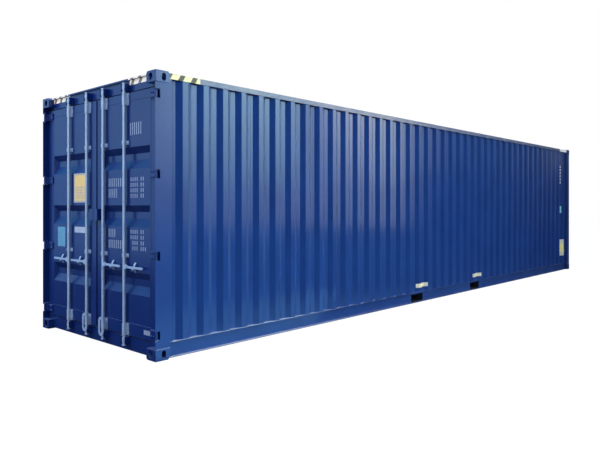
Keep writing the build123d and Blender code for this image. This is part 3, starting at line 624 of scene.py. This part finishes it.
plates = {
    "fields": (((0.742, 0.931), (1.045, 1.286)), ((0.221, 0.512), (1.226, 1.296))),   # cyan one, white one
    "thickness": 0.002,
    "edge": 0.0008,
    "rivet": 0.003,
    "rivetTop": 0.0015,
    "rivetHeight": 0.0015,
    "rivetSides": 8,
    "inset": 0.012,
}
shape = bmesh.new()
face = leafPlane - plates["thickness"]
for index, ((y0, y1), (z0, z1)) in enumerate(plates["fields"]):
    softBlock(shape, (face, y0, z0), (leafPlane, y1, z1), plates["edge"], index)
    for y in (y0 + plates["inset"], y1 - plates["inset"]):
        for z in (z0 + plates["inset"], z1 - plates["inset"]):
            roundBar(shape, (face, y, z), (face - plates["rivetHeight"], y, z), plates["rivet"],
                     plates["rivetTop"], plates["rivetSides"])
finishPiece("leftDoorPlates", shape, "left_door", [cyanFilm, whiteFilm])


# Rows of plain upright bars on the right leaf

tally = {
    "barWidth": 0.016,
    "gap": 0.022,
    "blocks": (   # y from, y to, z from, z to
        (-0.674, -0.909, 2.289, 2.419),
        (-0.252, -0.544, 1.752, 1.846),
        (-0.252, -0.445, 1.634, 1.732),
        (-0.252, -0.390, 1.202, 1.292),
        (-0.252, -0.560, 1.082, 1.172),
    ),
    "lineHeight": 0.041,
    "levels": (1.803, 1.745, 1.687, 1.629, 1.252, 1.194),
    "columns": ((-0.684, -0.839), (-0.870, -0.929)),
    "lastLines": (   # z from, y from, y to
        (1.136, -0.720, -0.839),
        (1.136, -0.870, -0.955),
        (1.078, -0.720, -0.839),
        (1.078, -0.870, -0.990),
    ),
    "footPlate": (-0.926, -1.048, 0.222, 0.270),
}
rows = list(tally["blocks"])
for z in tally["levels"]:
    rows += [(yFrom, yTo, z, z + tally["lineHeight"]) for yFrom, yTo in tally["columns"]]
rows += [(yFrom, yTo, z, z + tally["lineHeight"]) for z, yFrom, yTo in tally["lastLines"]]
shape = bmesh.new()
step = tally["barWidth"] + tally["gap"]
for yFrom, yTo, z0, z1 in rows:
    for i in range(int((yFrom - yTo + tally["gap"]) / step)):
        y = yFrom - i * step
        doorFilm(shape, y, y - tally["barWidth"], z0, z1)
doorFilm(shape, *tally["footPlate"])
finishPiece("rightDoorTallies", shape, "right_door", [tallyFilm])
print("films made")


# Wall films follow the ribs, so each starts as the rib line and is lifted upwards

def ribDepth(x):
    # how far the wall's outer face lies behind its crests at this place along the box
    count, at = divmod(x - doorEnd - ribs["first"], ribs["pitch"])
    if count < 0 or count >= ribs["count"] or at >= 2 * ribs["slope"] + ribs["outer"]:
        return box["sideDepth"]
    if at < ribs["slope"]:
        return box["sideDepth"] * (1 - at / ribs["slope"])
    if at < ribs["slope"] + ribs["outer"]:
        return 0.0
    return box["sideDepth"] * (at - ribs["slope"] - ribs["outer"]) / ribs["slope"]


def ribCorners(x0, x1):
    places = [x0, x1]
    for i in range(ribs["count"]):
        start = doorEnd + ribs["first"] + i * ribs["pitch"]
        for turn in (0, ribs["slope"], ribs["slope"] + ribs["outer"], 2 * ribs["slope"] + ribs["outer"]):
            if x0 < start + turn < x1:
                places.append(start + turn)
    return sorted(places)


def wallFilm(shape, side, x0, x1, z0, z1, index=0):
    crest = halfWidth - box["sideInset"] + film["lift"]
    points = [(x, side * (crest - ribDepth(x)), z0) for x in ribCorners(x0, x1)]
    for face in raiseLine(shape, points, z1 - z0):
        face.material_index = index


def filmBands(low, high, edge):
    # the two outer bands of a film and the yellow one between them: from, to, material
    return (low, low + edge, 0), (low + edge, high - edge, 1), (high - edge, high, 0)


pocketFilm = {"places": (-0.915, 1.060), "width": 0.330, "z": (0.238, 0.300), "edge": 0.33}
farFilm = {"x": (5.500, 5.790), "z": (0.353, 0.736), "edge": 0.25}
farMarks = {"x": (5.562, 5.592), "top": 2.440, "pitch": 0.075, "height": 0.052, "count": 6}
farPlate = {"x": (5.560, 5.610), "z": (1.370, 1.530)}
for hand, side in hands.items():
    shape = bmesh.new()
    width = pocketFilm["width"]
    for x in pocketFilm["places"]:
        for a, b, index in filmBands(x - width / 2, x + width / 2, width * pocketFilm["edge"]):
            wallFilm(shape, side, a, b, *pocketFilm["z"], index)
    low, high = farFilm["z"]
    for a, b, index in filmBands(low, high, (high - low) * farFilm["edge"]):
        wallFilm(shape, side, *farFilm["x"], a, b, index)
    for i in range(farMarks["count"]):
        z = farMarks["top"] - i * farMarks["pitch"]
        wallFilm(shape, side, *farMarks["x"], z, z + farMarks["height"], 3)
    wallFilm(shape, side, *farPlate["x"], *farPlate["z"], 2)
    piece = finishPiece(f"{hand}SideFilms", shape, "frame", [agedFilm, lemonFilm, cyanFilm, tallyFilm])
    solid = piece.modifiers.new("film thickness", "SOLIDIFY")
    solid.thickness = film["thickness"]
    solid.offset = 0


# Slanted bars on the ends of both top rails and beside the top castings of the door end

stripes = {
    "near": (0.184, 0.572),    # along the rail, from the door end
    "far": (11.540, 12.004),
    "railEdge": 0.001,
    "end": 0.407,
    "header": ((0.050, 2.875, 2.889), (0.074, 2.822, 2.873)),   # behind the castings' plane, z from, z to
}
for hand, side in hands.items():
    shape = bmesh.new()
    face = side * (halfWidth - box["railInset"])
    front = face + side * film["thickness"]
    for index, (a, b) in enumerate((stripes["near"], stripes["far"])):
        softBlock(shape, (doorEnd + a, min(face, front), box["topRailBottom"] + stripes["railEdge"]),
                  (doorEnd + b, max(face, front), box["topRailTop"] - stripes["railEdge"]), film["edge"],
                  index)
    finishPiece(f"{hand}RailStripes", shape, "frame", [sideHazard, whiteFilm])
shape = bmesh.new()
for side in hands.values():
    near = side * (halfWidth - box["castingWidth"])
    away = near - side * stripes["end"]
    for depth, z0, z1 in stripes["header"]:
        face = doorEnd + depth
        softBlock(shape, (face - film["thickness"], min(near, away), z0), (face, max(near, away), z1),
                  film["edge"])
finishPiece("headerStripes", shape, "frame", [endHazard])
print("stripes made")


# Stage: pale floor, soft lamps, the photograph's camera

view = {
    "place": (-9.564, -6.104, 1.550),
    "turn": -45.60,
    "imageWidth": 600,         # pixels, as the focal length and the shift are
    "focal": 598.1,
    "shift": (36.5, -19.7),
    "sensor": 36,
    "clip": 300,
}
sight = bpy.data.cameras.new("camera")
sight.sensor_width = view["sensor"]
sight.lens = view["focal"] / view["imageWidth"] * sight.sensor_width
sight.shift_x = view["shift"][0] / view["imageWidth"]
sight.shift_y = view["shift"][1] / view["imageWidth"]
sight.clip_end = view["clip"]
camera = bpy.data.objects.new("camera", sight)
camera.location = view["place"]
camera.rotation_euler = (math.radians(90), 0, math.radians(view["turn"]))
bpy.context.scene.collection.objects.link(camera)
bpy.context.scene.camera = camera

ground = {"reach": 120, "level": -0.0005, "shade": "4a505c", "seen": "585858", "glow": 0.95}
floorPaint, tree = startMaterial("matt pale floor paint")
rays = add(tree, "ShaderNodeLightPath")
pale = add(tree, "ShaderNodeBsdfDiffuse", {"Color": linear(ground["shade"])})
faint = add(tree, "ShaderNodeBsdfDiffuse", {"Color": linear(ground["seen"])})
glow = add(tree, "ShaderNodeEmission", {"Color": (1, 1, 1, 1), "Strength": ground["glow"]})
seen = add(tree, "ShaderNodeAddShader", links={0: faint, 1: glow})
chosen = add(tree, "ShaderNodeMixShader", links={0: rays.outputs["Is Camera Ray"], 1: pale, 2: seen})
add(tree, "ShaderNodeOutputMaterial", links={"Surface": chosen})
shape = bmesh.new()
bmesh.ops.create_grid(shape, x_segments=1, y_segments=1, size=ground["reach"])
floor = linkMesh("floor", shape, [floorPaint])
floor.location.z = ground["level"]

surroundings = {"colour": "cfd9fa", "strength": 0.68}
world = bpy.data.worlds.new("studio")
bpy.context.scene.world = world
world.use_nodes = True
tree = world.node_tree
tree.nodes.clear()
rays = add(tree, "ShaderNodeLightPath")
seen = add(tree, "ShaderNodeMath",
           links={0: rays.outputs["Is Camera Ray"], 1: rays.outputs["Is Transmission Ray"]},
           operation="MAXIMUM")
backdrop = add(tree, "ShaderNodeMath", links={0: seen, 1: rays.outputs["Is Glossy Ray"]},
               operation="MAXIMUM")
white = add(tree, "ShaderNodeBackground", {"Color": (1, 1, 1, 1), "Strength": 1.0})
soft = add(tree, "ShaderNodeBackground",
           {"Color": linear(surroundings["colour"]), "Strength": surroundings["strength"]})
picked = add(tree, "ShaderNodeMixShader", links={0: backdrop, 1: soft, 2: white})
add(tree, "ShaderNodeOutputWorld", links={"Surface": picked})


def softLamp(name, place, target, size, power, colour, spread, gloss=True):
    lamp = bpy.data.lights.new(name, "AREA")
    lamp.shape = "RECTANGLE"
    lamp.size, lamp.size_y = size
    lamp.energy = power
    lamp.color = linear(colour)[:3]
    lamp.spread = math.radians(spread)
    holder = bpy.data.objects.new(name, lamp)
    holder.location = place
    holder.rotation_euler = (Vector(target) - Vector(place)).to_track_quat("-Z", "Y").to_euler()
    holder.visible_camera = False
    holder.visible_glossy = gloss
    bpy.context.scene.collection.objects.link(holder)


# Lamps: a low sky before the right wall, a key above it, one over the roof and one over the doors
studio = {
    "sky": {"place": (10.0, -31.0, 10.2), "target": (-5.5, -1.2, 1.5), "size": (16, 12), "power": 610,
            "colour": "f6ffe8", "spread": 30, "gloss": False},
    "key": {"place": (5.9, -15.4, 18.2), "target": (-8.0, -1.2, 1.5), "size": (4, 4), "power": 500,
            "colour": "fff8e4", "spread": 80, "gloss": False},
    "top": {"place": (-4.0, -2.0, 14.0), "target": (-1.0, 0.0, 1.5), "size": (8, 8), "power": 500,
            "colour": "f4f7ff", "spread": 180},
    "door": {"place": (-10.5, 3.0, 7.5), "target": (-6.1, 0.0, 2.8), "size": (4, 4), "power": 300,
             "colour": "b8d0ff", "spread": 180},
}
for name, lamp in studio.items():
    softLamp(name + "Lamp", **lamp)


# Panels of the studio that show in gloss and nowhere else

cloth = {"shade": "10141c", "rough": 0.9}


def glossPanel(name, shape, colour, heights, strengths):
    # a lit cloth whose glow grows evenly between two heights
    (low, high), (weak, strong) = heights, strengths
    lit, tree = startMaterial(name + " cloth")
    place = add(tree, "ShaderNodeTexCoord")
    spot = add(tree, "ShaderNodeSeparateXYZ", links={0: place.outputs["Object"]})
    climb = add(tree, "ShaderNodeMapRange",
                {"From Min": low, "From Max": high, "To Min": weak, "To Max": strong},
                {"Value": spot.outputs["Z"]})
    backlit = add(tree, "ShaderNodeBsdfPrincipled",
                  {"Base Color": linear(cloth["shade"]), "Roughness": cloth["rough"],
                   "Emission Color": linear(colour)}, {"Emission Strength": climb})
    add(tree, "ShaderNodeOutputMaterial", links={"Surface": backlit})
    panel = linkMesh(name, shape, [lit])
    panel.visible_camera = panel.visible_diffuse = False
    panel.visible_shadow = panel.visible_transmission = False


# Upright cards: metres from the middle, degrees from and to, heights, colour, strength at foot and top
cards = {
    "sideLowCard": (34, (34, 97), (-0.5, 4), "10141c", (0, 0)),
    "leftDoorLowCard": (15, (117, 141), (-0.5, 2.8), "93c8ff", (1.4, 1.4)),
    "rightDoorLowCard": (15, (141, 168), (-0.5, 2.8), "9accff", (2.0, 2.0)),
    "backLowCard": (34, (97, 298), (-0.5, 4), "10141c", (0, 0)),
    "farGroundCard": (34, (-33, 34), (-0.5, 4), "10141c", (0, 0)),
    "nearGroundCard": (34, (-62, -34), (-0.5, 3), "dce0d8", (2.2, 2.6)),
    "tallCard": (34, (212, 292), (4, 22), "10141c", (0, 0)),
    "brightCard": (34, (-62, -47), (3, 10), "ccf0ea", (3.7, 10.0)),
    "brightTopCard": (34, (-62, -47), (10, 26), "c6ffff", (9.0, 9.0)),
    "middleCard": (34, (-47, -43), (3, 10), "dce8e2", (2.4, 3.9)),
    "centreCard": (34, (-43, -38), (3, 10), "e4e8e2", (2.6, 10.0)),
    "middleTopCard": (34, (-47, -38), (10, 26), "e0e8e2", (4.4, 4.4)),
    "farMiddleCard": (34, (-38, -34), (3, 10), "e8f4e6", (3.4, 7.2)),
    "farMiddleTopCard": (34, (-38, -34), (10, 26), "ecf4e6", (7.2, 7.2)),
    "rimCard": (34, (-34, -31), (4, 26), "e8f4e6", (0.5, 3.4)),
    "hazeCard": (34, (-30, -26), (4, 26), "88b0c0", (0.5, 0.5)),
    "farCard": (34, (-26, 34), (4, 26), "406c78", (0.8, 0.8)),
    "leftDoorHazeCard": (34, (60, 132), (4, 10), "a0d4f8", (1.55, 1.55)),
    "rightDoorHazeCard": (34, (132, 174), (4, 10), "b0d8fc", (2.5, 2.5)),
    "doorSkyCard": (34, (60, 174), (10, 40), "70d0ff", (1.0, 1.0)),
    "barCard": (33, (195, 219), (-0.5, 22), "d4ecff", (5.0, 5.0)),
}
for name, (radius, (first, last), heights, colour, strengths) in cards.items():
    low, high = heights
    angles = [math.radians(angle) for angle in range(first, last + 1)]
    points = [(radius * math.cos(angle), radius * math.sin(angle), low) for angle in angles]
    shape = bmesh.new()
    raiseLine(shape, points, high - low)
    glossPanel(name, shape, colour, heights, strengths)

# A patch over the ground before the near half of the right wall that glows in reflections only: a painted
# reflection of pale ground
glowingGroundPatch = {"corners": ((-6.3, -1.3), (-3.4, -1.3), (-0.9, -2.9), (-0.9, -3.3), (-5.0, -3.3)),
              "rise": 0.002, "colour": "96e1ff", "strengths": (1.4, 1.4)}
shape = bmesh.new()
shape.faces.new([shape.verts.new((x, y, glowingGroundPatch["rise"])) for x, y in glowingGroundPatch["corners"]])
glossPanel("glowingGroundPatch", shape, glowingGroundPatch["colour"], (0, 1), glowingGroundPatch["strengths"])

bpy.context.scene.view_settings.view_transform = "Standard"
print("stage made")
